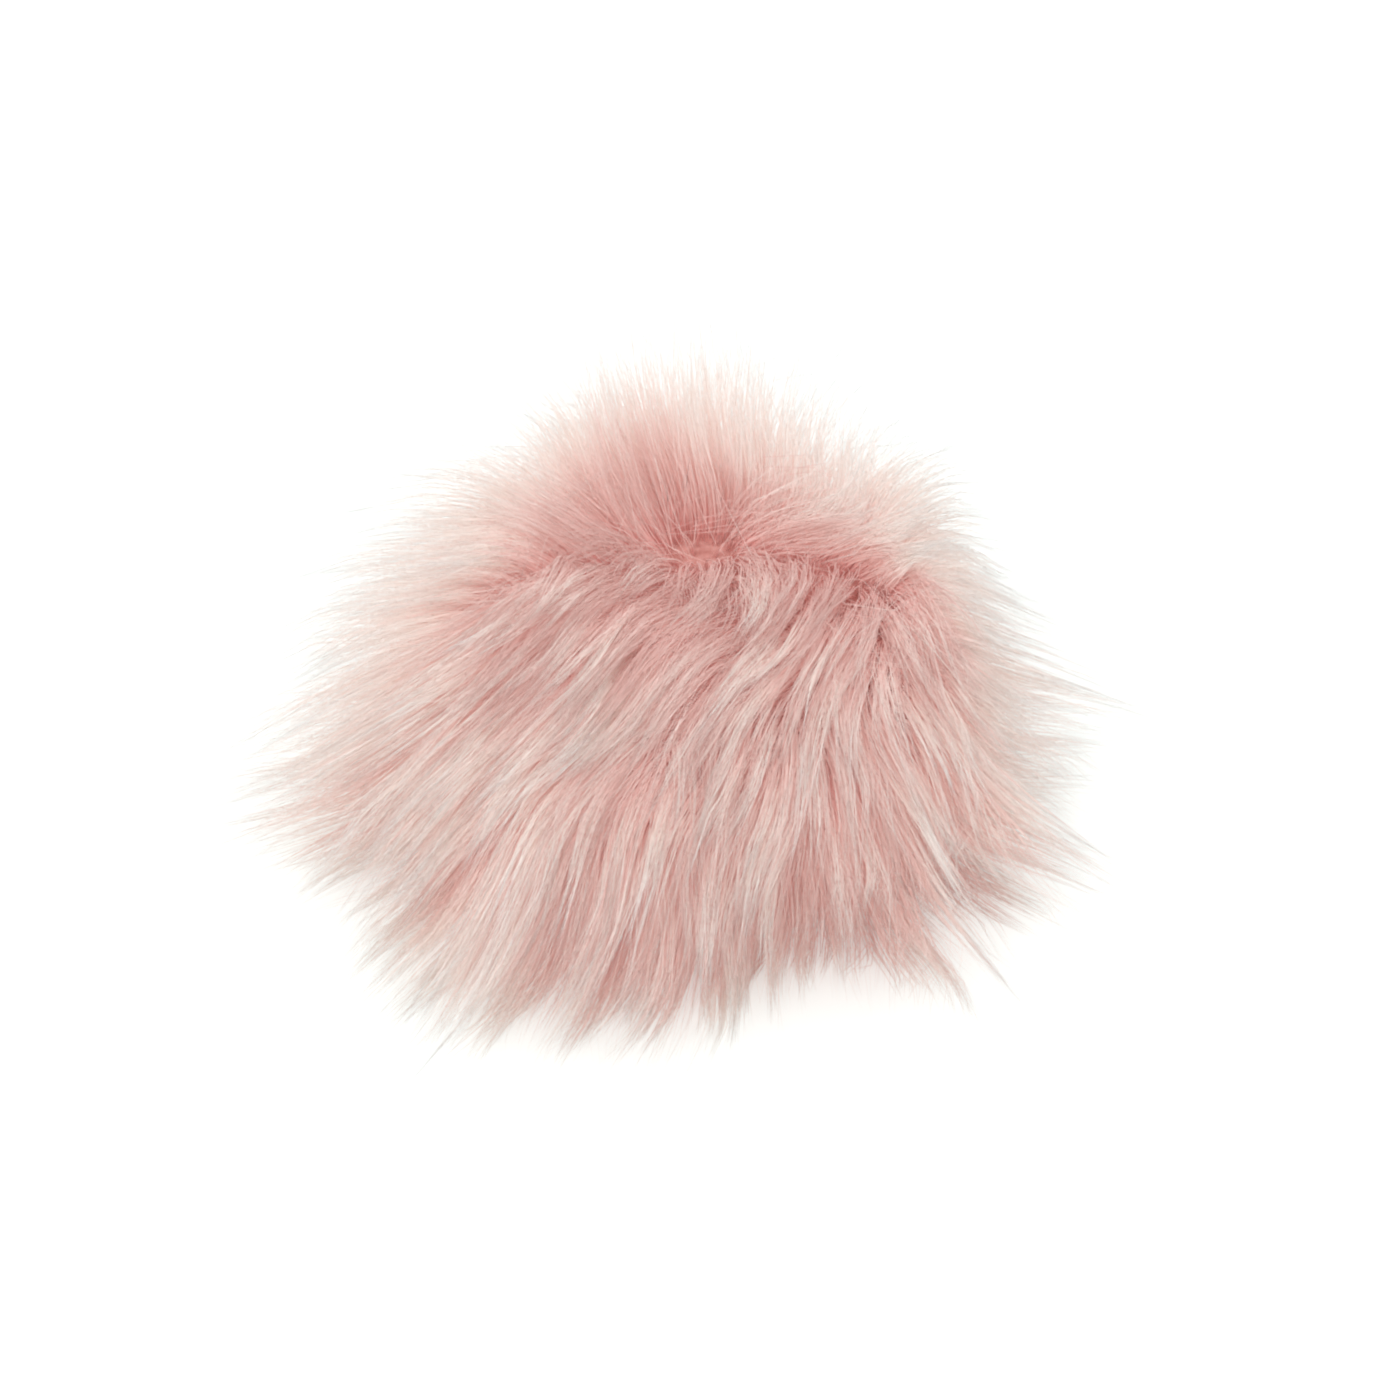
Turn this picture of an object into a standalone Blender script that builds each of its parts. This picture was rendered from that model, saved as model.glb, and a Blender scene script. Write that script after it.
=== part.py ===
# Faux fur pompom, lying on its underside with the fur fallen open from a parting on top.
# One gathered ball of fur cloth: the ball and its thick underfur are the core, and the long
# pile is a coat of four-sided locks that stand apart and are fused to the core at their roots.
# Metres, +Z up, the origin in the middle of the flat spot that the ball rests on, front towards -Y.

import math
import random
from collections import namedtuple

import bmesh
import bpy
from mathutils import Euler, Vector, noise

# The ball with its underfur: its bottom is cut level by the floor
CORE_HALF_WIDTH = 0.0375
CORE_HALF_DEPTH = 0.0355
CORE_HALF_HEIGHT = 0.0235
CORE_MIDDLE_HEIGHT = 0.0218
CORE_HALF_ROUND = (CORE_HALF_WIDTH + CORE_HALF_DEPTH) / 2

# The root cells, one for each lock
CELLS_ACROSS = 8  # along each edge of the cube that the ball is divided like
CELL_TURN = 0.5  # radians by which the cells are turned round the crown
CELL_DRIFT = 0.12  # how far they wander from even places, as a share of the ball's radius
CELL_DRIFT_SIZE = 2.4
CELL_STILL = 0.05  # no cell wanders at the crown, nor fully within this depth below it

# The locks
LOCK_RINGS = (0.0, 0.34, 0.68)  # share of a lock's length at its root and at two rings above
LOCK_WIDTHS = (0.86, 0.80, 0.56)  # share of its root cell that a lock fills at each ring
CROWN_THINNING = 0.42  # how much narrower the locks are that open out around the parting
CROWN_SPREAD = 0.4  # radians from the crown over which they are narrower
THIN_FROM = 0.5  # share of a lock's length by which it is as narrow as that
SHORTEST_LOCK = 0.84  # share of the fur's full length
LAST_ROOT = math.radians(113)  # locks that root below this have no room under the ball
SEED = 7

# How the fur falls
ARCH = 0.36  # how far a lock rises off the ball before it falls, as a share of its length
FLOOR_FELT = math.radians(80)  # fibres that root below this bend towards the floor
FLOOR_ROOT = math.radians(118)  # those that root below this lie on it
LEVEL_FROM = 0.55  # a fibre that lies on the floor is level from this share of its length
FLOOR_BLEND = 0.012  # height over which the floor holds the fur level
CROWN_SHIFT = Vector((0.0045, 0.003, 0.0))  # of the parting from the middle of the flat spot
CROWN_HEIGHT = 0.045
PARTING_STRETCH = 0.32  # how much longer the parting is from side to side than a round one
PARTING_REACH = 0.03  # how far out from the middle the stretch is felt
PARTING_SWEEP = 0.26  # radians by which the fur turns from the parting's line to the front or back
FORWARD_SWEEP = 0.12  # radians by which the fur at the sides is brushed to the front
SWEEP_FULL = 0.5  # radians from the crown to where the turns are full
SWEEP_FADES = (0.6, 1.8)  # radians from the crown between which they fade
SWEEP_FADED = 0.6  # the share that fades
WAVE_SIZE = 0.024
WAVE_DEPTH = 0.0034
WAVE_PLACE = Vector((3.1, 8.4, 1.7))

# Where the fur's tips lie at full length, by how far down the ball from the crown they root:
# distance out from the middle and height above the floor, at the front, the sides and the back.
LayRow = namedtuple("LayRow", "root_deg front_out front_up side_out side_up back_out back_up")
LAY = (
    LayRow(0, 0.000, 0.052, 0.000, 0.055, 0.000, 0.061),
    LayRow(7, 0.016, 0.056, 0.015, 0.060, 0.010, 0.068),
    LayRow(18, 0.032, 0.054, 0.029, 0.057, 0.021, 0.067),
    LayRow(32, 0.047, 0.046, 0.042, 0.048, 0.034, 0.058),
    LayRow(50, 0.060, 0.033, 0.053, 0.036, 0.046, 0.043),
    LayRow(70, 0.069, 0.020, 0.062, 0.024, 0.055, 0.028),
    LayRow(90, 0.073, 0.009, 0.067, 0.011, 0.060, 0.014),
    LayRow(106, 0.072, 0.003, 0.067, 0.004, 0.060, 0.005),
    LayRow(118, 0.064, 0.000, 0.061, 0.000, 0.055, 0.000),
)

# How far the fur reaches over the floor at each bearing, counted from +X towards the back, as a
# share of LAY: the long rows are the tufts, and the short ones the bays between them.
RimRow = namedtuple("RimRow", "bearing_deg reach")
RIM = (
    RimRow(14, 1.03),
    RimRow(40, 0.96),
    RimRow(65, 1.02),
    RimRow(90, 0.98),
    RimRow(118, 1.02),
    RimRow(145, 0.96),
    RimRow(170, 0.96),
    RimRow(188, 1.05),
    RimRow(204, 0.91),
    RimRow(223, 0.98),
    RimRow(240, 1.09),
    RimRow(251, 1.00),
    RimRow(272, 0.98),
    RimRow(290, 0.88),
    RimRow(302, 0.92),
    RimRow(310, 1.07),
    RimRow(319, 0.93),
    RimRow(331, 1.02),
    RimRow(348, 0.95),
)
RIM_FROM = 0.030  # the tufts and bays start this far out from the middle
RIM_FULL = 0.060  # and are full here
RIM_LOW = 0.006  # they are full up to this height
RIM_HIGH = 0.042  # and are gone here

FUR_COLOUR = (0.64, 0.39, 0.35, 1.0)
FUR_ROUGHNESS = 0.9


def smooth(share):
    share = min(1.0, max(0.0, share))
    return share * share * (3 - 2 * share)


def between(value, low, high):
    """0 below low, 1 above high, and a smooth rise from one to the other."""
    return smooth((value - low) / (high - low))


def quadratic(start, middle, end, share):
    return (1 - share) ** 2 * start + 2 * share * (1 - share) * middle + share**2 * end


def read_lay(root_angle):
    """The tip's place at the front, the sides and the back, on a smooth curve through LAY."""
    at = min(math.degrees(root_angle), LAY[-1].root_deg)
    low = max(i for i, row in enumerate(LAY[:-1]) if row.root_deg <= at)
    near = [LAY[min(max(low + k, 0), len(LAY) - 1)] for k in (-1, 0, 1, 2)]
    share = (at - near[1].root_deg) / (near[2].root_deg - near[1].root_deg)
    found = []
    for column in LayRow._fields[1:]:
        a, b, c, d = (getattr(row, column) for row in near)
        bend = 2 * a - 5 * b + 4 * c - d + share * (3 * (b - c) + d - a)
        found.append(b + 0.5 * share * (c - a + share * bend))
    return found


def read_rim(bearing):
    at = math.degrees(bearing) % 360
    rows = RIM + (RimRow(RIM[0].bearing_deg + 360, RIM[0].reach),)
    if at < rows[0].bearing_deg:
        at += 360
    low = max(i for i, row in enumerate(rows[:-1]) if row.bearing_deg <= at)
    rise = between(at, rows[low].bearing_deg, rows[low + 1].bearing_deg)
    return rows[low].reach + (rows[low + 1].reach - rows[low].reach) * rise


def core_profile(root_angle):
    """(distance out, height) of the core's surface on its own half plane, and its normal there."""
    out = CORE_HALF_ROUND * math.sin(root_angle)
    up = max(CORE_MIDDLE_HEIGHT + CORE_HALF_HEIGHT * math.cos(root_angle), 0.0)
    normal = Vector((math.sin(root_angle) / CORE_HALF_ROUND, math.cos(root_angle) / CORE_HALF_HEIGHT))
    return Vector((out, up)), normal.normalized()


def tip_profile(root_angle, bearing):
    """(distance out, height) of a full length fibre's tip, blended between the columns of LAY."""
    front_out, front_up, side_out, side_up, back_out, back_up = read_lay(root_angle)
    side = math.cos(bearing) ** 2
    front = math.sin(bearing) ** 2 if math.sin(bearing) < 0 else 0.0
    back = 1 - side - front
    out = front * front_out + side * side_out + back * back_out
    up = front * front_up + side * side_up + back * back_up
    return Vector((out, up))


def fibre_profile(root_angle, bearing, along):
    """Where a fibre has got to on its own half plane: it rises off the ball, arches and falls."""
    tip = tip_profile(root_angle, bearing)
    root, normal = core_profile(root_angle)
    low = between(root_angle, FLOOR_FELT, FLOOR_ROOT)
    arch = root + normal * (ARCH * (tip - root).length * (1 - low))
    arch = arch.lerp(Vector(((root.x + tip.x) / 2, tip.y)), low)
    along_down = along + low * (min(along / LEVEL_FROM, 1.0) - along)
    return quadratic(root.x, arch.x, tip.x, along), quadratic(root.y, arch.y, tip.y, along_down)


def sweep(root_angle, bearing):
    """How far a fibre turns round the middle, from its root to its tip."""
    turn = PARTING_SWEEP * math.sin(2 * bearing) - FORWARD_SWEEP * math.cos(bearing)
    kept = 1 - SWEEP_FADED * between(root_angle, *SWEEP_FADES)
    return turn * between(root_angle, 0, SWEEP_FULL) * kept


def uneven(point):
    """The coat's waves and tufts, as one smooth bending of the space that the fur fills."""
    wave = noise.noise_vector(point / WAVE_SIZE + WAVE_PLACE) * WAVE_DEPTH
    point = point + Vector((wave.x, wave.y, wave.z * between(point.z, 0, FLOOR_BLEND)))
    out = math.hypot(point.x, point.y)
    rim = between(out, RIM_FROM, RIM_FULL) * (1 - between(point.z, RIM_LOW, RIM_HIGH))
    reach = 1 + (read_rim(math.atan2(point.y, point.x)) - 1) * rim
    return Vector((point.x * reach, point.y * reach, max(point.z, 0.0)))


def fur_point(direction, along):
    """Where a fibre that roots in this direction of the ball has got to, from 0 at its root to 1."""
    root_angle = math.acos(max(-1.0, min(1.0, direction.z)))
    if along > 0:
        root_angle = min(root_angle, FLOOR_ROOT)
    bearing = math.atan2(direction.y, direction.x)
    out, up = fibre_profile(root_angle, bearing, along)
    bearing += sweep(root_angle, bearing) * along
    stretch = PARTING_STRETCH * math.exp(-((out / PARTING_REACH) ** 2))
    x = out * math.cos(bearing) * (CORE_HALF_WIDTH / CORE_HALF_ROUND + stretch)
    y = out * math.sin(bearing) * CORE_HALF_DEPTH / CORE_HALF_ROUND
    return uneven(Vector((x, y, up)) + CROWN_SHIFT * between(up, 0, CROWN_HEIGHT))


def ball_cells():
    """A ball of even four-sided cells: a divided cube blown up round its middle."""
    cells = bmesh.new()
    bmesh.ops.create_cube(cells, size=2)
    bmesh.ops.subdivide_edges(cells, edges=cells.edges[:], cuts=CELLS_ACROSS - 1, use_grid_fill=True)
    for vertex in cells.verts:
        even = Vector([math.tan(side * math.pi / 4) for side in vertex.co]).normalized()
        drift = noise.noise_vector(even * CELL_DRIFT_SIZE) * CELL_DRIFT
        drift *= between(1 - even.z, 0, CELL_STILL)
        vertex.co = (even + drift).normalized()
        vertex.co.rotate(Euler((0, 0, CELL_TURN)))
    return cells


def grow_lock(cells, cell, middle, length):
    """Draws one lock out of its root cell, ring by ring, and lists each new vertex with the
    direction it roots in and its place along the fur. The last four become the lock's point."""
    corners = [vertex.co.copy() for vertex in cell.verts]
    crown_angle = math.acos(middle.z)
    thinning = CROWN_THINNING * math.exp(-((crown_angle / CROWN_SPREAD) ** 2))
    rings = []
    face = cell
    for along, width in zip(LOCK_RINGS, LOCK_WIDTHS):
        face = bmesh.ops.extrude_discrete_faces(cells, faces=[face])["faces"][0]
        width *= 1 - thinning * between(along, 0, THIN_FROM)
        ring = [middle.lerp(corner, width).normalized() for corner in corners]
        rings += [(vertex, direction, along * length) for vertex, direction in zip(face.verts, ring)]
    point = bmesh.ops.extrude_discrete_faces(cells, faces=[face])["faces"][0]
    return rings + [(vertex, middle, length) for vertex in point.verts]


def make_fur_ball():
    cells = ball_cells()
    chance = random.Random(SEED)
    placed = [(vertex, vertex.co.copy(), 0.0) for vertex in cells.verts]
    points = []
    for cell in cells.faces[:]:
        middle = cell.calc_center_median().normalized()
        length = chance.uniform(SHORTEST_LOCK, 1)
        if math.acos(middle.z) > LAST_ROOT:
            continue
        lock = grow_lock(cells, cell, middle, length)
        placed += lock
        points.append([vertex for vertex, _, _ in lock[-4:]])
    for vertex, direction, along in placed:
        vertex.co = fur_point(direction, along)
    for corners in points:
        bmesh.ops.pointmerge(cells, verts=corners, merge_co=corners[0].co.copy())
    bmesh.ops.recalc_face_normals(cells, faces=cells.faces[:])
    mesh = bpy.data.meshes.new("fur_ball")
    cells.to_mesh(mesh)
    cells.free()
    return bpy.data.objects.new("fur_ball", mesh)


def fur_material():
    material = bpy.data.materials.new("pink_fur")
    material.use_nodes = True
    shader = material.node_tree.nodes["Principled BSDF"]
    shader.inputs["Base Color"].default_value = FUR_COLOUR
    shader.inputs["Roughness"].default_value = FUR_ROUGHNESS
    shader.inputs["Metallic"].default_value = 0.0
    return material


def main():
    for obj in list(bpy.data.objects):
        bpy.data.objects.remove(obj)
    noise.seed_set(SEED)
    fur_ball = make_fur_ball()
    fur_ball.data.materials.append(fur_material())
    bpy.context.scene.collection.objects.link(fur_ball)


main()
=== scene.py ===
import math

import bpy
import numpy as np
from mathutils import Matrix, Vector, kdtree, noise


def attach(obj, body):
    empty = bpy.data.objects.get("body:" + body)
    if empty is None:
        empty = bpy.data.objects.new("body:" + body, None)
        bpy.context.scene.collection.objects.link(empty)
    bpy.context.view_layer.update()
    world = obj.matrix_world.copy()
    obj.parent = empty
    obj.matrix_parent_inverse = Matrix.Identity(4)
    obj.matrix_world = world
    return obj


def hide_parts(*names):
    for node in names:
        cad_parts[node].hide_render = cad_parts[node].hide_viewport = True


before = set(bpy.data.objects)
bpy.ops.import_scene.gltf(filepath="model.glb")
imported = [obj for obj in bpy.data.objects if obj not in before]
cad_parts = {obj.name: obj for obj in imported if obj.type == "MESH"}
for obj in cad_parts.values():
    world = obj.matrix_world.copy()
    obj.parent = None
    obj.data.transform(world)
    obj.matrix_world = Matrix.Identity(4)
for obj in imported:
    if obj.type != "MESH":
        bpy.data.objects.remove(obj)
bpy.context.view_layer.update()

scene = bpy.context.scene

# The studio: camera, lights and floor
studio = {
    "aim": (0.0016, 0.0, 0.0215),
    "elevation": 40.0,  # degrees above the floor
    "distance": 0.61,
    "lens": 100.0,
    "softness": 2.2,  # pixels that the picture is smoothed over
    "bounces": 12,  # light passes from hair to hair many times
    "floorSide": 6.0,
    "floorColour": (0.68, 0.72, 0.70),
    "floorGlow": 0.27,  # keeps the table white, as in an overexposed studio photograph
    "skyStrength": 0.93,
    "keyPlace": (-0.25, -0.35, 1.15),
    "keySide": 0.9,
    "keyPower": 7.0,
}


class Shade:
    # Wraps one shader socket: arithmetic on it adds Math nodes, and node() adds any other node.
    def __init__(self, tree, socket=None):
        self.tree = tree
        self.socket = socket

    def node(self, kind, settings, values, output=0):
        made = self.tree.nodes.new(kind)
        for name, value in settings.items():
            setattr(made, name, value)
        for name, value in values.items():
            if isinstance(value, Shade):
                self.tree.links.new(value.socket, made.inputs[name])
            else:
                made.inputs[name].default_value = value
        return Shade(self.tree, made.outputs[output])

    def math(self, operation, *values):
        return self.node("ShaderNodeMath", {"operation": operation}, dict(enumerate(values)))

    def __add__(self, other):
        return self.math("ADD", self, other)

    def __sub__(self, other):
        return self.math("SUBTRACT", self, other)

    def __rsub__(self, other):
        return self.math("SUBTRACT", other, self)

    def __mul__(self, other):
        return self.math("MULTIPLY", self, other)

    __radd__ = __add__
    __rmul__ = __mul__

    def between(self, low, high):
        # 0 below low, 1 above high, with a smooth rise; the ends may be shades too
        return self.node(
            "ShaderNodeMapRange",
            {"interpolation_type": "SMOOTHSTEP"},
            {"Value": self, "From Min": low, "From Max": high},
        )

    def mix(self, first, second):
        # This shade is the share of the second colour
        settings = {"data_type": "RGBA"}
        return self.node("ShaderNodeMix", settings, {0: self, 6: first, 7: second}, output=2)


def newMaterial(name, settings):
    material = bpy.data.materials.new(name)
    material.use_nodes = True
    shader = material.node_tree.nodes["Principled BSDF"]
    for socket, value in settings.items():
        shader.inputs[socket].default_value = value
    return material, shader, Shade(material.node_tree)


def addStudio():
    rise = math.radians(studio["elevation"])
    back = Vector((0, -math.cos(rise), math.sin(rise)))
    lens = bpy.data.cameras.new("photoCamera")
    lens.lens = studio["lens"]
    lens.sensor_width = 36.0
    lens.clip_start = 0.01
    camera = bpy.data.objects.new("photoCamera", lens)
    camera.location = Vector(studio["aim"]) + back * studio["distance"]
    camera.rotation_euler = (-back).to_track_quat("-Z", "Y").to_euler()
    scene.collection.objects.link(camera)
    scene.camera = camera

    light = bpy.data.lights.new("keyLight", "AREA")
    light.shape = "SQUARE"
    light.size = studio["keySide"]
    light.energy = studio["keyPower"]
    key = bpy.data.objects.new("keyLight", light)
    key.location = studio["keyPlace"]
    key.rotation_euler = (-Vector(studio["keyPlace"])).to_track_quat("-Z", "Y").to_euler()
    scene.collection.objects.link(key)

    sky = bpy.data.worlds.new("softSky")
    sky.use_nodes = True
    sky.node_tree.nodes["Background"].inputs["Color"].default_value = (1.0, 1.0, 1.0, 1.0)
    sky.node_tree.nodes["Background"].inputs["Strength"].default_value = studio["skyStrength"]
    scene.world = sky
    scene.view_settings.view_transform = "Standard"
    scene.cycles.filter_width = studio["softness"]
    scene.cycles.diffuse_bounces = studio["bounces"]

    bpy.ops.object.select_all(action="DESELECT")
    bpy.ops.mesh.primitive_plane_add(size=studio["floorSide"])
    floor = bpy.context.object
    floor.name = "whiteTable"
    colour = (*studio["floorColour"], 1.0)
    settings = {"Base Color": colour, "Roughness": 0.9, "Emission Strength": studio["floorGlow"]}
    material, _, _ = newMaterial("whiteTable", settings)
    floor.data.materials.append(material)


addStudio()
print("studio ready")

# The ball under the fur, and how each hair falls from it. A hair is named by the direction of
# the ball that it roots in and by how far along it a point is, from 0 at its root to 1.
ball = {
    "halfWidth": 0.0375,
    "halfDepth": 0.0355,
    "halfHeight": 0.0235,
    "middleHeight": 0.0218,
}
ballRound = (ball["halfWidth"] + ball["halfDepth"]) / 2

fall = {
    "arch": 0.36,  # rise off the ball before the hair falls, as a share of its length
    "floorFelt": math.radians(80),
    "floorRoot": math.radians(118),
    "levelFrom": 0.55,
    "floorBlend": 0.012,
    "undrawn": (1.5, 1.75),  # the lowest hairs fill the bays between the pointed locks
    "mostDrawn": 1.1,
    "crownShift": (0.0035, 0.0045),
    "crownHeight": 0.045,
    "partingTurn": -0.37,  # the parting runs from the back left to the front right
    "partingStretch": (0.3, 1.1),  # to the back left and to the front right
    "partingSides": (-0.01, 0.01),
    "partingReach": 0.022,
    "combFades": (0.3, 1.2),
    "waveSize": 0.024,
    "waveDepth": 0.0034,
    "wavePlace": (3.1, 8.4, 1.7),
    "waveSeed": 7,
}

# Where the tips lie, by degrees of the root from the crown:
# out and up at the front, at the sides and at the back.
tipLay = np.array([
    (0, 0.022, 0.0525, 0.014, 0.056, 0.005, 0.064),
    (7, 0.032, 0.0500, 0.023, 0.056, 0.013, 0.070),
    (18, 0.043, 0.0455, 0.034, 0.053, 0.024, 0.069),
    (32, 0.053, 0.0390, 0.044, 0.046, 0.036, 0.060),
    (50, 0.062, 0.0300, 0.054, 0.036, 0.048, 0.044),
    (70, 0.069, 0.0195, 0.062, 0.024, 0.055, 0.028),
    (90, 0.073, 0.009, 0.067, 0.011, 0.060, 0.014),
    (106, 0.072, 0.003, 0.067, 0.004, 0.060, 0.005),
    (118, 0.064, 0.000, 0.061, 0.000, 0.055, 0.000),
])

# How far the hairs turn by their tips, by bearing in degrees from +X towards the back:
# turn of those from the crown and of those from the rim, to the left as seen from above
combTurn = np.array([
    (-180, 0.05, 0.12), (-150, 0.00, 0.15), (-120, -0.20, 0.02), (-90, -0.42, -0.13),
    (-60, -0.62, -0.17), (-40, -0.75, -0.16), (-22, -0.80, -0.08), (-12, 0.20, -0.04),
    (10, 0.25, 0.03), (30, 0.22, 0.06), (60, 0.20, 0.12), (90, 0.10, 0.06), (135, 0.00, 0.00),
    (160, -0.02, 0.06), (180, 0.05, 0.12),
])

# Tufts and bays round the rim: bearing, and reach as a share
rimReach = np.array([
    (2, 1.09), (19, 0.90), (45, 0.97), (65, 1.03), (90, 0.99), (118, 1.03), (145, 0.97),
    (168, 0.98), (193, 1.12), (206, 0.96), (223, 1.03), (240, 1.10), (251, 1.00), (267, 0.98),
    (275, 0.93), (283, 0.83), (292, 0.84), (300, 0.88), (310, 1.09), (319, 0.83), (330, 1.15),
    (345, 0.92), (362, 1.09),
])

# Pointed locks on the table: bearing, half width in degrees, and how much further they reach
pointedLocks = [
    (2, 8, 0.05), (194, 9, 0.08), (240, 9, 0.13), (261, 7, 0.06), (273, 6, 0.05), (310, 7, 0.14),
    (331, 7, 0.07), (70, 9, 0.05), (122, 10, 0.05), (155, 9, 0.05),
]
lockDraw = 0.65  # how far hairs are drawn together to such a point
rimBand = {"from": 0.030, "full": 0.060, "low": 0.006, "high": 0.042}

# The same for the fur above the rim, which is drawn in at the back right
shoulderReach = np.array([
    (-10, 0.94), (15, 0.88), (45, 0.97), (75, 1.03), (105, 1.01), (135, 0.97), (165, 0.99),
    (200, 0.98), (240, 0.97), (270, 0.95), (300, 0.98), (330, 0.96), (350, 0.94),
])
shoulderBand = {"from": 0.020, "full": 0.045, "low": 0.010, "high": 0.030}


def between(value, low, high):
    share = np.clip((value - low) / (high - low), 0, 1)
    return share * share * (3 - 2 * share)


def quadratic(start, middle, end, share):
    return (1 - share) ** 2 * start + 2 * share * (1 - share) * middle + share**2 * end


def readLay(rootAngle):
    at = np.minimum(np.degrees(rootAngle), tipLay[-1, 0])
    low = np.clip(np.searchsorted(tipLay[:, 0], at, side="right") - 1, 0, len(tipLay) - 2)
    a, b, c, d = (tipLay[np.clip(low + k, 0, len(tipLay) - 1)] for k in (-1, 0, 1, 2))
    share = ((at - b[..., 0]) / (c[..., 0] - b[..., 0]))[..., None]
    bend = 2 * a - 5 * b + 4 * c - d + share * (3 * (b - c) + d - a)
    return np.moveaxis((b + 0.5 * share * (c - a + share * bend))[..., 1:], -1, 0)


def readRound(table, bearing, column=1):
    at = (np.degrees(bearing) - table[0, 0]) % 360 + table[0, 0]
    low = np.clip(np.searchsorted(table[:, 0], at, side="right") - 1, 0, len(table) - 2)
    rise = between(at, table[low, 0], table[low + 1, 0])
    return table[low, column] + (table[low + 1, column] - table[low, column]) * rise


def waves(points):
    # The coat's gentle unevenness, one noise vector for each point
    place = Vector(fall["wavePlace"])
    flat = points.reshape(-1, 3) / fall["waveSize"]
    found = [noise.noise_vector(Vector(point) + place) for point in flat.tolist()]
    return np.array(found).reshape(points.shape) * fall["waveDepth"]


def furPoints(directions, along):
    # Places of hair points, from unit directions (..., 3) and shares along the hair (...)
    rootAngle = np.arccos(np.clip(directions[..., 2], -1, 1))
    rootAngle = np.where(along > 0, np.minimum(rootAngle, fall["floorRoot"]), rootAngle)
    bearing = np.arctan2(directions[..., 1], directions[..., 0])

    frontOut, frontUp, sideOut, sideUp, backOut, backUp = readLay(rootAngle)
    side = np.cos(bearing) ** 2
    front = np.where(np.sin(bearing) < 0, np.sin(bearing) ** 2, 0)
    rear = 1 - side - front
    tipOut = front * frontOut + side * sideOut + rear * backOut
    tipUp = front * frontUp + side * sideUp + rear * backUp

    rootOut = ballRound * np.sin(rootAngle)
    rootUp = np.maximum(ball["middleHeight"] + ball["halfHeight"] * np.cos(rootAngle), 0)
    normalOut = np.sin(rootAngle) / ballRound
    normalUp = np.cos(rootAngle) / ball["halfHeight"]
    normalLength = np.hypot(normalOut, normalUp)
    low = between(rootAngle, fall["floorFelt"], fall["floorRoot"])
    rise = fall["arch"] * np.hypot(tipOut - rootOut, tipUp - rootUp) * (1 - low) / normalLength
    archOut = (rootOut + normalOut * rise) * (1 - low) + (rootOut + tipOut) / 2 * low
    archUp = (rootUp + normalUp * rise) * (1 - low) + tipUp * low
    alongDown = along + low * (np.minimum(along / fall["levelFrom"], 1) - along)
    out = quadratic(rootOut, archOut, tipOut, along)
    up = quadratic(rootUp, archUp, tipUp, alongDown)

    crownTurn, rimTurn = readRound(combTurn, bearing, 1), readRound(combTurn, bearing, 2)
    turn = crownTurn + (rimTurn - crownTurn) * between(rootAngle, *fall["combFades"])
    bearing = bearing + turn * along
    crown = between(up, 0, fall["crownHeight"])
    x = out * np.cos(bearing) * ball["halfWidth"] / ballRound
    y = out * np.sin(bearing) * ball["halfDepth"] / ballRound
    partingX, partingY = math.cos(fall["partingTurn"]), math.sin(fall["partingTurn"])
    onParting = x * partingX + y * partingY
    left, right = fall["partingStretch"]
    stretch = onParting * (left + (right - left) * between(onParting, *fall["partingSides"]))
    stretch = stretch * np.exp(-((out / fall["partingReach"]) ** 2))
    points = np.stack([
        x + stretch * partingX + fall["crownShift"][0] * crown,
        y + stretch * partingY + fall["crownShift"][1] * crown,
        up,
    ], -1)

    wave = waves(points)
    wave[..., 2] *= between(points[..., 2], 0, fall["floorBlend"])
    points = points + wave
    out = np.hypot(points[..., 0], points[..., 1])
    rim = between(out, rimBand["from"], rimBand["full"])
    rim = rim * (1 - between(points[..., 2], rimBand["low"], rimBand["high"]))
    high = between(out, shoulderBand["from"], shoulderBand["full"])
    high = high * between(points[..., 2], shoulderBand["low"], shoulderBand["high"])
    bearing = np.arctan2(points[..., 1], points[..., 0])
    reach = 1 + (readRound(rimReach, bearing) - 1) * rim
    reach = reach * (1 + (readRound(shoulderReach, bearing) - 1) * high)
    drawn = rim * np.clip(along, 0, fall["mostDrawn"]) ** 2 * (1 - between(rootAngle, *fall["undrawn"]))
    for centre, width, further in pointedLocks:
        off = (np.degrees(bearing) - centre + 180) % 360 - 180
        near = np.exp(-((off / width) ** 2)) * drawn
        bearing = bearing - np.radians(off) * lockDraw * near
        reach = reach * (1 + further * near)
    out = out * reach
    return np.stack([out * np.cos(bearing), out * np.sin(bearing), np.maximum(points[..., 2], 0)], -1)


# The gathered ball of fur cloth, with the woolly ground of the fur
groundCloth = {
    "rose": (0.50, 0.22, 0.19),
    "pale": (0.68, 0.38, 0.34),
    "woolSize": 900.0,
    "lumpSize": 160.0,
    "lumpShare": 0.4,
    "roseBand": (0.35, 0.65),
    "bumpDepth": 0.0006,
    "inset": 0.985,
    "floorGap": 0.0002,
    "fill": 0.9,
}


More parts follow.
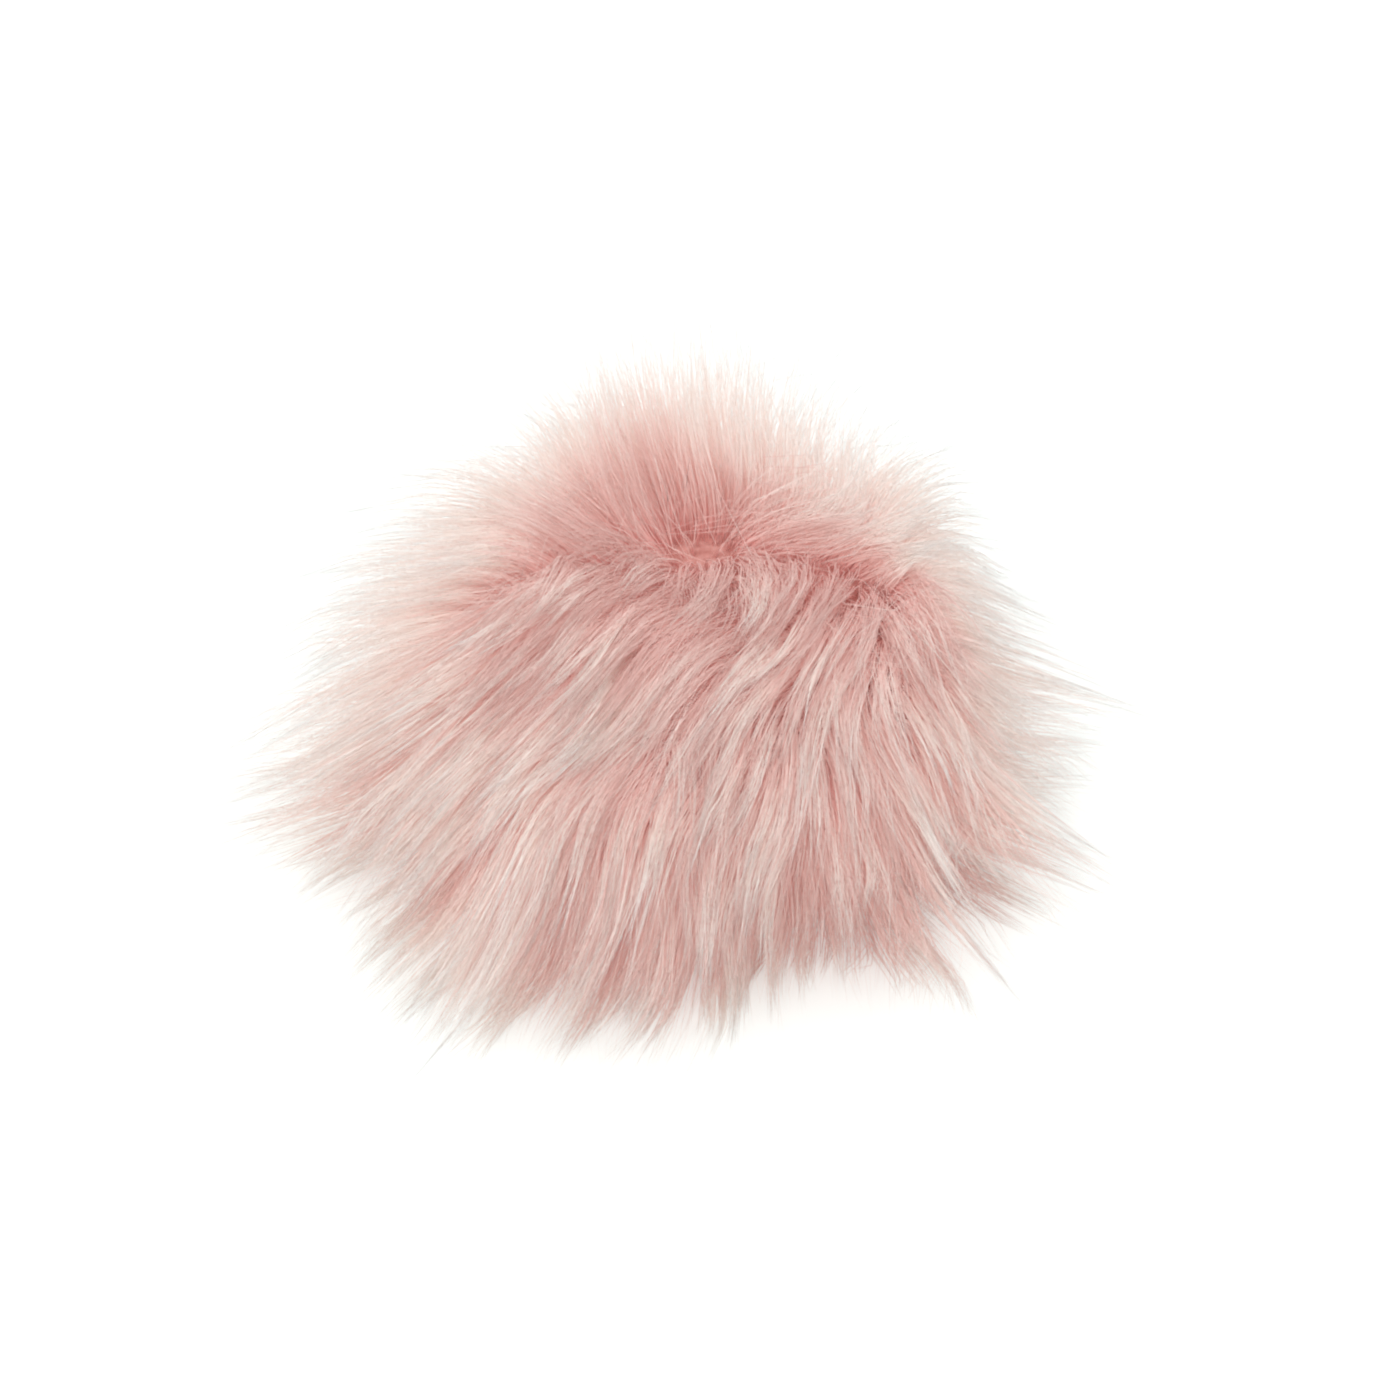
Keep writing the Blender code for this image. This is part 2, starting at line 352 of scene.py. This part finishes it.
def groundMaterial():
    settings = {"Roughness": 0.95, "Specular IOR Level": 0.1}
    material, shader, shade = newMaterial("roseGround", settings)
    place = shade.node("ShaderNodeTexCoord", {}, {}, output=3)
    wool = shade.node(
        "ShaderNodeTexNoise", {}, {"Vector": place, "Scale": groundCloth["woolSize"], "Detail": 3.0}
    )
    lump = shade.node(
        "ShaderNodeTexNoise", {}, {"Vector": place, "Scale": groundCloth["lumpSize"], "Detail": 1.0}
    )
    lumpShare = groundCloth["lumpShare"]
    share = (wool * (1 - lumpShare) + lump * lumpShare).between(*groundCloth["roseBand"])
    rose, pale = (*groundCloth["rose"], 1.0), (*groundCloth["pale"], 1.0)
    shade.tree.links.new(share.mix(rose, pale).socket, shader.inputs["Base Color"])
    values = {"Strength": 0.6, "Distance": groundCloth["bumpDepth"], "Height": wool}
    bump = shade.node("ShaderNodeBump", {}, values)
    shade.tree.links.new(bump.socket, shader.inputs["Normal"])
    return material


def addGround():
    bpy.ops.object.select_all(action="DESELECT")
    bpy.ops.mesh.primitive_ico_sphere_add(subdivisions=6, radius=1.0)
    ground = bpy.context.object
    ground.name = "groundCloth"
    count = len(ground.data.vertices)
    places = np.empty(count * 3)
    ground.data.vertices.foreach_get("co", places)
    directions = places.reshape(-1, 3)
    points = furPoints(directions / np.linalg.norm(directions, axis=1)[:, None], np.zeros(count))
    middle = np.array([0, 0, ball["middleHeight"]])
    points = middle + (points - middle) * groundCloth["inset"]
    points[:, 2] = np.maximum(points[:, 2], groundCloth["floorGap"])
    ground.data.vertices.foreach_set("co", points.reshape(-1))
    ground.data.shade_smooth()
    ground.data.materials.append(groundMaterial())
    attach(ground, "root")
    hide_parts("fur_ball")


noise.seed_set(fall["waveSeed"])
addGround()
print("ground cloth ready")

# How the hairs gather: locks, finer locks in them, and wisps in those. Held is how far a hair
# has been drawn to the middle of each by its tip, between a least and a most.
gather = {
    "locks": {"count": 170, "held": (0.25, 0.65), "length": (0.93, 1.02)},
    "fineLocks": {"count": 1100, "held": (0.45, 0.93), "length": (0.90, 1.05)},
    "wisps": {"count": 7000, "held": (0.60, 0.95), "length": (0.94, 1.03)},
    "drawnAlong": (0.05, 1.0),
    "looserBack": 0.45,  # share of that hold which is left at the back
    "backRoots": (-0.15, 0.25),
    "looserSides": 0.5,  # how much of that loosening the sides have
    "sideRoots": (0.6, 0.95),
    "tighterRim": 1.1,
    "rimRoots": (-0.5, 0.0),
    "evenAt": (304, 17, 0.15),  # bearing, half width and hold of the front right, which hangs evenly
    "wander": 0.025,  # how far a fine lock's tip strays from its even place
    "lift": 0.02,
    "pastLastRoot": 0.06,
    "seed": 21,
}

coat = {
    "hairs": 33000,
    "casting": 0.19,  # share that shades the rest: light goes through most of the fine hairs
    "points": 5,
    "radius": 0.000095,
    "tipRadius": 0.00002,
    "frontLength": (0.64, 1.0, 1.6),  # least and most share of the full length, and how few are short
    "backLength": (0.38, 1.40, 1.9),  # and how few are long
    "crownLength": 0.86,  # share of that length which the hairs at the crown and the rim have
    "crownRoots": (0.25, 0.6),
    "rimRoots": (1.0, 1.4),
    "rearFrom": (-0.4, 0.4),  # from the front's lengths to the back's
    "lastRoot": math.radians(118),
    "crowding": 1.3,
    "bareCrown": 0.08,
    "lockEdge": (0.05, 0.14),  # from the middle of a lock to its edge, where hairs are rosier with painted shade between the locks
    "fineLockEdge": (0.02, 0.055),
    "edgeShort": 0.14,  # and shorter, so that the locks end in points
    "edgeEven": 0.65,
    "fineEdgeShare": 0.5,
    "thickness": (0.7, 1.2),
    "taper": 1.8,
    "wispBend": 0.0007,
    "wispWaves": 5.0,
    "hairBend": 0.0003,
    "hairWaves": 9.0,
    "seed": 5,
}

# How creamy the coat's hairs are, from 0, rosy, to 1
coatTint = {
    "middle": 0.42,
    "lock": 0.11,  # how much locks, fine locks, wisps and hairs differ from each other
    "fineLock": 0.22,
    "wisp": 0.13,
    "hair": 0.06,
    "longer": 0.9,  # the long hairs on top are creamier
    "longFrom": 0.88,
    # painted shade between the locks: how much rosier the hairs at a lock's edge are
    "lockGapShade": 0.26,
    "edgeEven": 1.05,
    "sideEven": 0.45,  # the sides differ less
    "sideBand": (0.03, 0.06),
    "back": 0.42,
    "backEven": 0.6,
    "backBend": (0.35, 0.15),  # the back's line bends forward at both sides, and more at the right
    "backBand": (-0.005, 0.04),
    "rim": 0.30,
    "rimMiddle": (0.0, -0.02),
    "rimSize": (0.075, 0.07),
    "rimShares": (0.5, 1.0),
    "rightBack": 0.25,
    "rightBand": (-0.005, 0.015),
    "behindBand": (-0.01, 0.01),
    # painted shade in the crown's pit and along the parting, where one looks down to the roots
    "crownShadeRose": 0.15,
    "crownRoots": (0.25, 0.8),
    "partingShadeRose": 0.25,
    "partingBand": (0.012, 0.026),
}

# Where the coat is creamier or rosier than around, seen from the camera's height:
# across, up, reach and amount
tintPatches = [
    (-0.014, 0.064, 0.015, -0.22),
    (0.009, -0.027, 0.009, 0.25),
    (0.013, -0.018, 0.009, 0.15),
    (0.029, -0.028, 0.008, -0.30),
    (0.030, -0.005, 0.012, 0.14),
    (0.053, -0.021, 0.008, -0.35),
    (-0.014, -0.035, 0.008, -0.25),
    (0.052, -0.002, 0.012, 0.35),
    (-0.046, 0.016, 0.018, 0.34),
    (-0.036, 0.032, 0.012, 0.24),
    (-0.042, -0.014, 0.018, 0.30),
    (-0.006, -0.020, 0.016, 0.08),
]

woolCoat = {
    "hairs": 7000,
    "points": 4,
    "radius": 0.00016,
    "tipRadius": 0.00005,
    "length": (0.28, 0.55),
    "lastRoot": math.radians(150),
    "underShort": 0.75,  # how much shorter it is under the ball
    "underRoots": (math.radians(100), math.radians(140)),
    "hairBend": 0.0012,
    "hairWaves": 4.0,
    "turns": (0, 6.3),  # of each hair about itself
    "tint": 0.2,
    "varied": 0.12,
    "backTint": 0.45,
    "backRoots": (-0.1, 0.4),
    "leftTint": 0.35,
    "leftRoots": (0.25, 0.7),
    "seed": 9,
}

looseHairs = {
    "wisps": 900,
    "hairsEach": 5,
    "points": 5,
    "radius": 0.00006,
    "tipRadius": 0.000015,
    "length": (0.88, 1.06),
    "hairLength": (0.88, 1.0),  # of that, for each hair of a wisp
    "backLength": 1.16,  # times as long at the back, where they stand
    "backRoots": (-0.1, 0.3),
    "lastRoot": math.radians(114),
    "spread": 0.035,
    "drawn": 0.75,
    "stray": 0.07,
    "crownStray": 2.4,  # times as far round the parting, where they cross each other
    "crownRoots": (0.75, 0.97),
    "hairBend": 0.0022,
    "hairWaves": 3.0,
    "turns": (0, 6.3),
    "tint": 0.35,
    "varied": 0.12,
    "outTint": 0.4,
    "outBand": (0.025, 0.06),
    "backTint": 0.4,
    "backBand": (0.0, 0.03),
    "seed": 13,
}

goldenTurn = math.pi * (3 - math.sqrt(5))
rootScatter = 0.5  # how far roots stray from even places, as a share of the space between them


def spreadRoots(count, lastRoot, chance, crowding=1.0):
    # Directions spread over the ball, down to lastRoot from the crown; a crowding over 1 sets
    # them closer at the crown
    step = np.arange(count) + 0.5
    height = 1 - (1 - math.cos(lastRoot)) * (step / count) ** crowding
    turn = step * goldenTurn
    flat = np.sqrt(1 - height**2)
    directions = np.stack([flat * np.cos(turn), flat * np.sin(turn), height], 1)
    spacing = math.sqrt(2 * math.pi * (1 - math.cos(lastRoot)) / count)
    directions += chance.normal(size=directions.shape) * spacing * rootScatter
    return unit(directions)


def unit(vectors):
    return vectors / np.maximum(np.linalg.norm(vectors, axis=-1, keepdims=True), 1e-9)


def nearest(directions, centres):
    tree = kdtree.KDTree(len(centres))
    for index, centre in enumerate(centres.tolist()):
        tree.insert(centre, index)
    tree.balance()
    return np.array([tree.find(direction)[1] for direction in directions.tolist()])


def makeGathering():
    # The middle of each lock, fine lock and wisp, with what its hairs share
    chance = np.random.default_rng(gather["seed"])
    lastRoot = coat["lastRoot"] + gather["pastLastRoot"]
    levels = []
    for name in ("locks", "fineLocks", "wisps"):
        look = gather[name]
        centres = spreadRoots(look["count"], lastRoot, chance)
        levels.append({
            "centres": centres,
            "held": chance.uniform(*look["held"], len(centres)),
            "length": chance.uniform(*look["length"], len(centres)),
            "tint": chance.normal(size=len(centres)),
            "phase": chance.uniform(0, 2 * math.pi, (len(centres), 2)),
            "stray": chance.normal(size=(len(centres), 3)),
        })
    levels[1]["within"] = nearest(levels[1]["centres"], levels[0]["centres"])
    levels[2]["within"] = nearest(levels[2]["centres"], levels[1]["centres"])
    return levels


def findLocks(roots, levels):
    # The lock, fine lock and wisp that each root belongs to
    wisp = nearest(roots, levels[2]["centres"])
    fine = levels[2]["within"][wisp]
    return levels[1]["within"][fine], fine, wisp


def hairPaths(roots, along, levels, members):
    # Draws each hair towards the middles of its wisp, its fine lock and its lock as it goes up
    locks, fineLocks, wisps = levels
    lock, fine, wisp = members
    near = between(along, *gather["drawnAlong"])[..., None]
    loose = gather["looserSides"] * between(np.abs(roots[:, 0]), *gather["sideRoots"])
    loose = np.maximum(between(roots[:, 1], *gather["backRoots"]), loose)
    near = near * (1 - (1 - gather["looserBack"]) * loose)[:, None, None]
    inWisp = (roots - wisps["centres"][wisp])[:, None] * (1 - wisps["held"][wisp][:, None, None] * near)
    inFine = (wisps["centres"][wisp] - fineLocks["centres"][fine])[:, None]
    inFine = inFine * (1 - fineLocks["held"][fine][:, None, None] * near)
    inLock = (fineLocks["centres"][fine] - locks["centres"][lock])[:, None]
    rimHold = 1 + (gather["tighterRim"] - 1) * between(-roots[:, 2], *gather["rimRoots"])
    centre, width, left = gather["evenAt"]
    off = (np.degrees(np.arctan2(roots[:, 1], roots[:, 0])) - centre + 180) % 360 - 180
    rimHold = rimHold * (1 - (1 - left) * np.exp(-((off / width) ** 2)))
    inLock = inLock * (1 - (locks["held"][lock] * rimHold)[:, None, None] * near)
    stray = fineLocks["stray"][fine][:, None] * gather["wander"] * near**2
    directions = locks["centres"][lock][:, None] + inLock + inFine + inWisp + stray
    directions[..., 2] += gather["lift"] * locks["tint"][lock][:, None] * near[..., 0]
    return furPoints(unit(directions), along)


def bendHairs(points, along, amount, phase, frequency):
    # A soft wave in two ways across each hair, growing towards its tip and starting at its root
    tangent = unit(np.gradient(points, axis=1))
    across = unit(np.cross(tangent, np.array([0.31, 0.22, 0.93])))
    over = np.cross(tangent, across)
    grown = (amount * along**1.4)[..., None]
    first = np.sin(frequency * along + phase[:, :1])[..., None] - np.sin(phase[:, :1])[..., None]
    second = np.sin(frequency * along + phase[:, 1:])[..., None] - np.sin(phase[:, 1:])[..., None]
    return points + grown * (across * first + over * second * 0.7)


def hairMesh(name, points, radii, tints, turns, material):
    # Joins closed three-sided hairs, each from a root to a point, into one mesh. The map's
    # first number is the hair's tint and its second is the share along the hair.
    hairs, rings, _ = points.shape
    points = points.copy()
    points[..., 2] = np.maximum(points[..., 2], radii + 0.00005)  # just off the table
    tangent = unit(np.gradient(points, axis=1))
    across = unit(np.cross(tangent, np.array([0.12, 0.08, 0.99])))
    over = np.cross(tangent, across)
    corner = turns[:, None] + np.arange(3) * 2 * math.pi / 3
    offset = (
        across[:, :-1, None] * np.cos(corner)[:, None, :, None]
        + over[:, :-1, None] * np.sin(corner)[:, None, :, None]
    )
    sides = points[:, :-1, None] + offset * radii[:, :-1, None, None]
    sides = sides.reshape(hairs, -1, 3)
    vertices = np.concatenate([sides, points[:, -1:]], 1)
    perHair = vertices.shape[1]
    tip = perHair - 1

    # One hair's faces as (corner vertices, map places)
    heights = np.linspace(0, 1, rings)
    faces = [((0, 2, 1), ((0, 0), (1, 0), (0.5, 0.02)))]
    for ring in range(rings - 2):
        for k in range(3):
            a, b = ring * 3 + k, ring * 3 + (k + 1) % 3
            low, high = heights[ring], heights[ring + 1]
            faces.append(((a, b, b + 3, a + 3), ((0, low), (1, low), (1, high), (0, high))))
    last = (rings - 2) * 3
    for k in range(3):
        corners = (last + k, last + (k + 1) % 3, tip)
        faces.append((corners, ((0, heights[-2]), (1, heights[-2]), (0.5, 1))))

    corners = np.array([vertex for vertexList, _ in faces for vertex in vertexList])
    places = np.array([place for _, placeList in faces for place in placeList])
    sizes = np.array([len(vertexList) for vertexList, _ in faces])
    loops = (np.arange(hairs)[:, None] * perHair + corners).reshape(-1)
    totals = np.tile(sizes, hairs)
    starts = np.concatenate([[0], np.cumsum(totals)[:-1]])
    mapWidth = 0.012
    mapAcross = tints[:, None] * (1 - mapWidth) + places[None, :, 0] * mapWidth
    mapUp = np.broadcast_to(places[None, :, 1], mapAcross.shape)

    mesh = bpy.data.meshes.new(name)
    mesh.vertices.add(hairs * perHair)
    mesh.vertices.foreach_set("co", vertices.reshape(-1).astype(np.float32))
    mesh.loops.add(len(loops))
    mesh.loops.foreach_set("vertex_index", loops.astype(np.int32))
    mesh.polygons.add(len(totals))
    mesh.polygons.foreach_set("loop_start", starts.astype(np.int32))
    mesh.polygons.foreach_set("loop_total", totals.astype(np.int32))
    mesh.polygons.foreach_set("use_smooth", np.ones(len(totals), bool))
    mesh.update(calc_edges=True)
    layer = mesh.uv_layers.new(name="OFBake")
    layer.data.foreach_set("uv", np.stack([mapAcross, mapUp], -1).reshape(-1).astype(np.float32))
    mesh.materials.append(material)
    piece = bpy.data.objects.new(name, mesh)
    scene.collection.objects.link(piece)
    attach(piece, "root")
    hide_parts("fur_ball")
    triangles = hairs * (1 + 6 * (rings - 2) + 3)
    print(name, hairs, "hairs,", triangles, "triangles")
    return piece


# Rose at the root, pink on the way, cream at the tip: the map's first number is how creamy
# a hair is, and its second how far along it is.
hairColours = {
    "root": (0.79, 0.43, 0.40),
    "rose": (0.74, 0.485, 0.445),
    "pink": (0.83, 0.605, 0.56),
    "blush": (0.885, 0.71, 0.66),
    "cream": (0.88, 0.79, 0.735),
    "shade": (0.70, 0.62, 0.56),  # painted shade: the grey of the lowest tips, which lie in their own shade
    "shadeHeight": 0.013,
    "shadeShare": 0.55,
    "shadeAlong": (0.45, 0.95),
    "milk": (0.96, 0.93, 0.91),
    "pinkTints": (0.1, 0.8),  # from rose hairs to pink ones
    "creamTints": (0.5, 0.85),  # from tips that end in blush to those that end in cream
    "rootAlong": (0.1, 0.55),
    "rootTint": 0.3,
    "whitenFrom": (0.90, 0.8),  # where a rosy hair's tip whitens, and how much sooner a creamy one's
    "whitenTo": (1.14, 0.5),
    "milkBand": (0.65, 1.0),
    "glowAlong": (0.1, 0.85),
    "roughness": 0.6,
    "sheen": 0.15,
    "glow": (1.2, 0.58, 0.52),  # painted glow: rosy light emitted by the hair, standing in for the light that the fibres pass on to each other, deep down
    "outerGlow": (0.32, 0.22, 0.19),  # and further out
    "milkGlow": (1.0, 0.95, 0.92),  # and in the light tips at the back
    "glowStrength": 0.11,
}


def hairMaterial():
    settings = {
        "Roughness": hairColours["roughness"],
        "Specular IOR Level": 0.25,
        "Sheen Weight": hairColours["sheen"],
        "Sheen Roughness": 0.5,
        "Emission Strength": hairColours["glowStrength"],
    }
    material, shader, shade = newMaterial("rosyHair", settings)
    place = shade.node("ShaderNodeUVMap", {"uv_map": "OFBake"}, {})
    tint = shade.node("ShaderNodeSeparateXYZ", {}, {"Vector": place}, output=0)
    along = shade.node("ShaderNodeSeparateXYZ", {}, {"Vector": place}, output=1)
    names = ("root", "rose", "pink", "blush", "cream", "shade", "milk", "glow", "outerGlow", "milkGlow")
    colour = {name: (*hairColours[name], 1.0) for name in names}
    body = tint.between(*hairColours["pinkTints"]).mix(colour["rose"], colour["pink"])
    past = (along + tint * hairColours["rootTint"]).between(*hairColours["rootAlong"])
    rooted = past.mix(colour["root"], body)
    low, lowSooner = hairColours["whitenFrom"]
    high, highSooner = hairColours["whitenTo"]
    whitened = along.between(low - tint * lowSooner, high - tint * highSooner)
    milky = (tint * along).between(*hairColours["milkBand"])
    pale = tint.between(*hairColours["creamTints"]).mix(colour["blush"], colour["cream"])
    creamed = whitened.mix(rooted, pale)
    # Painted shade: hairs low over the table turn grey towards their tips
    where = shade.node("ShaderNodeTexCoord", {}, {}, output=3)
    height = shade.node("ShaderNodeSeparateXYZ", {}, {"Vector": where}, output=2)
    nearTable = 1 - height.between(0.0, hairColours["shadeHeight"])
    paintedShade = nearTable * along.between(*hairColours["shadeAlong"]) * hairColours["shadeShare"]
    lit = milky.mix(creamed, colour["milk"])
    shade.tree.links.new(paintedShade.mix(lit, colour["shade"]).socket, shader.inputs["Base Color"])
    # Painted glow: the hair emits rosy light, strongest near the roots, that lifts the shade between
    # the fibres, and paler light in the light tips at the back
    glow = along.between(*hairColours["glowAlong"]).mix(colour["glow"], colour["outerGlow"])
    paintedGlow = milky.mix(glow, colour["milkGlow"])
    shade.tree.links.new(paintedGlow.socket, shader.inputs["Emission Color"])
    return material


def lockEdges(roots, levels, members):
    # How near each root is to the edge of its lock and of its fine lock, from 0 to 1
    lock, fine, _ = members
    edge = np.linalg.norm(roots - levels[0]["centres"][lock], axis=1)
    fineEdge = np.linalg.norm(roots - levels[1]["centres"][fine], axis=1)
    return between(edge, *coat["lockEdge"]), between(fineEdge, *coat["fineLockEdge"])


def lengthShares(roots, edge, fineEdge, draw):
    # In front most hairs are long, and at the back few are, so that they end in a thin haze
    rootAngle = np.arccos(roots[:, 2])
    least, most, power = coat["frontLength"]
    inFront = most - (most - least) * draw**power
    least, most, power = coat["backLength"]
    middle = between(rootAngle, *coat["crownRoots"]) * (1 - between(rootAngle, *coat["rimRoots"]))
    most = most * (coat["crownLength"] + (1 - coat["crownLength"]) * middle)
    behind = least + (most - least) * (1 - draw) ** power
    rear = between(np.sin(np.arctan2(roots[:, 1], roots[:, 0])), *coat["rearFrom"])
    share = inFront + (behind - inFront) * rear
    edges = edge + coat["fineEdgeShare"] * fineEdge - coat["edgeEven"]
    return share * (1 - coat["edgeShort"] * edges * (1 - rear))


def coatTints(roots, tips, share, edge, fineEdge, levels, members, single):
    # Single is a random number for each hair
    look = coatTint
    rootAngle = np.arccos(roots[:, 2])
    x, y, z = tips.T
    bend, rightBend = look["backBend"]
    back = between(y + bend * np.abs(x) + rightBend * x, *look["backBand"])
    lock, fine, wisp = (level["tint"][member] for level, member in zip(levels, members))
    varied = look["lock"] * lock + look["fineLock"] * fine
    varied = varied + look["wisp"] * wisp + look["hair"] * single
    varied = varied + look["longer"] * (np.minimum(share, 1) - look["longFrom"])
    # Painted shade: hairs at the edges of locks and fine locks are rosier, as if in the shade between
    # them
    varied = varied - look["lockGapShade"] * (edge + fineEdge - look["edgeEven"])
    varied = varied * (1 - look["sideEven"] * between(np.abs(x), *look["sideBand"]))
    tint = look["middle"] + varied * (1 - look["backEven"] * back) + look["back"] * back
    middleX, middleY = look["rimMiddle"]
    sizeX, sizeY = look["rimSize"]
    outwards = np.hypot((x - middleX) / sizeX, (y - middleY) / sizeY)
    tint = tint + look["rim"] * between(outwards, *look["rimShares"])
    rightBack = between(x, *look["rightBand"]) * between(y, *look["behindBand"])
    tint = tint + look["rightBack"] * rightBack
    rise = math.radians(studio["elevation"])
    seenUp = z * math.cos(rise) + y * math.sin(rise)
    for across, up, reach, amount in tintPatches:
        tint = tint + amount * np.exp(-((x - across) ** 2 + (seenUp - up) ** 2) / reach**2)
    # Painted shade: rosier in the crown's pit and along the parting
    atCrown = 1 - between(rootAngle, *look["crownRoots"])
    tint = tint - look["crownShadeRose"] * atCrown * (1 - back)
    atParting = 1 - between(np.hypot(x, y), *look["partingBand"])
    tint = tint - look["partingShadeRose"] * atParting * (1 - back)
    return np.clip(tint, 0, 1)


def addCoat(levels, material):
    chance = np.random.default_rng(coat["seed"])
    roots = spreadRoots(coat["hairs"], coat["lastRoot"], chance, coat["crowding"])
    roots = roots[np.arccos(roots[:, 2]) > coat["bareCrown"]]
    count = len(roots)
    members = findLocks(roots, levels)
    edge, fineEdge = lockEdges(roots, levels, members)
    share = lengthShares(roots, edge, fineEdge, chance.random(count))
    lockLength, fineLength, wispLength = (
        level["length"][member] for level, member in zip(levels, members)
    )
    length = lockLength * fineLength * wispLength * share
    steps = np.linspace(0, 1, coat["points"])
    along = length[:, None] * steps
    points = hairPaths(roots, along, levels, members)
    phase = levels[2]["phase"][members[2]]
    points = bendHairs(points, along, coat["wispBend"], phase, coat["wispWaves"])
    phase = chance.uniform(0, 2 * math.pi, (count, 2))
    points = bendHairs(points, along, coat["hairBend"], phase, coat["hairWaves"])
    radii = coat["tipRadius"] + (coat["radius"] - coat["tipRadius"]) * (1 - steps ** coat["taper"])
    radii = radii * chance.uniform(*coat["thickness"], (count, 1))
    single = chance.normal(size=count)
    tint = coatTints(roots, points[:, -1], share, edge, fineEdge, levels, members, single)
    turns = chance.uniform(0, 2 * math.pi, count)
    bearing = np.degrees(np.arctan2(roots[:, 1], roots[:, 0]))
    casting = chance.random(count) < coat["casting"]
    sides = {
        "frontFur": (bearing >= -135) & (bearing < -45),
        "rightFur": (bearing >= -45) & (bearing < 45),
        "backFur": (bearing >= 45) & (bearing < 135),
        "leftFur": (bearing >= 135) | (bearing < -135),
    }
    for name, side in sides.items():
        chosen = side & ~casting
        piece = hairMesh(name, points[chosen], radii[chosen], tint[chosen], turns[chosen], material)
        piece.visible_shadow = False
    hairMesh("shadingFur", points[casting], radii[casting], tint[casting], turns[casting], material)


def addWool(material):
    chance = np.random.default_rng(woolCoat["seed"])
    roots = spreadRoots(woolCoat["hairs"], woolCoat["lastRoot"], chance)
    count = len(roots)
    steps = np.linspace(0, 1, woolCoat["points"])
    length = chance.uniform(*woolCoat["length"], count)
    under = between(np.arccos(roots[:, 2]), *woolCoat["underRoots"])
    length = length * (1 - woolCoat["underShort"] * under)
    along = length[:, None] * steps
    points = furPoints(np.repeat(roots[:, None], len(steps), 1), along)
    phase = chance.uniform(0, 2 * math.pi, (count, 2))
    grown = steps[None] * np.ones((count, 1))
    points = bendHairs(points, grown, woolCoat["hairBend"], phase, woolCoat["hairWaves"])
    radii = woolCoat["tipRadius"] + (woolCoat["radius"] - woolCoat["tipRadius"]) * (1 - steps)
    radii = radii * np.ones((count, 1))
    tint = woolCoat["tint"] + woolCoat["varied"] * chance.normal(size=count)
    tint = tint + woolCoat["backTint"] * between(roots[:, 1], *woolCoat["backRoots"])
    tint = tint + woolCoat["leftTint"] * between(-roots[:, 0], *woolCoat["leftRoots"])
    tint = np.clip(tint, 0, 1)
    hairMesh("woolFur", points, radii, tint, chance.uniform(*woolCoat["turns"], count), material)


def addLooseHairs(material):
    chance = np.random.default_rng(looseHairs["seed"])
    wisps, each = looseHairs["wisps"], looseHairs["hairsEach"]
    roots = np.repeat(spreadRoots(wisps, looseHairs["lastRoot"], chance), each, axis=0)
    count = len(roots)
    spread = chance.normal(size=(count, 1, 3)) * looseHairs["spread"]
    stray = np.repeat(chance.normal(size=(wisps, 1, 3)), each, axis=0) * looseHairs["stray"]
    crown = between(roots[:, 2], *looseHairs["crownRoots"])[:, None, None]
    stray = stray * (1 + (looseHairs["crownStray"] - 1) * crown)
    steps = np.linspace(0, 1, looseHairs["points"])
    length = np.repeat(chance.uniform(*looseHairs["length"], wisps), each)
    length = length * chance.uniform(*looseHairs["hairLength"], count)
    rear = between(roots[:, 1], *looseHairs["backRoots"])
    length = length * (1 + (looseHairs["backLength"] - 1) * rear)
    along = length[:, None] * steps
    near = (along**2)[..., None]
    directions = roots[:, None] + spread * (1 - looseHairs["drawn"] * near) + stray * near
    points = furPoints(unit(directions), along)
    phase = np.repeat(chance.uniform(0, 2 * math.pi, (wisps, 2)), each, axis=0)
    points = bendHairs(points, along, looseHairs["hairBend"], phase, looseHairs["hairWaves"])
    radii = looseHairs["tipRadius"] + (looseHairs["radius"] - looseHairs["tipRadius"]) * (1 - steps)
    radii = radii * np.ones((count, 1))
    tips = points[:, -1]
    outwards = between(np.hypot(tips[:, 0], tips[:, 1]), *looseHairs["outBand"])
    rear = between(tips[:, 1], *looseHairs["backBand"])
    tint = looseHairs["tint"] + looseHairs["outTint"] * outwards + looseHairs["backTint"] * rear
    tint = tint + looseHairs["varied"] * chance.normal(size=count)
    tint = np.clip(tint, 0, 1)
    turns = chance.uniform(*looseHairs["turns"], count)
    piece = hairMesh("looseHairs", points, radii, tint, turns, material)
    piece.visible_shadow = False


gathering = makeGathering()
rosyHair = hairMaterial()
addCoat(gathering, rosyHair)
addWool(rosyHair)
addLooseHairs(rosyHair)
print("fur ready")
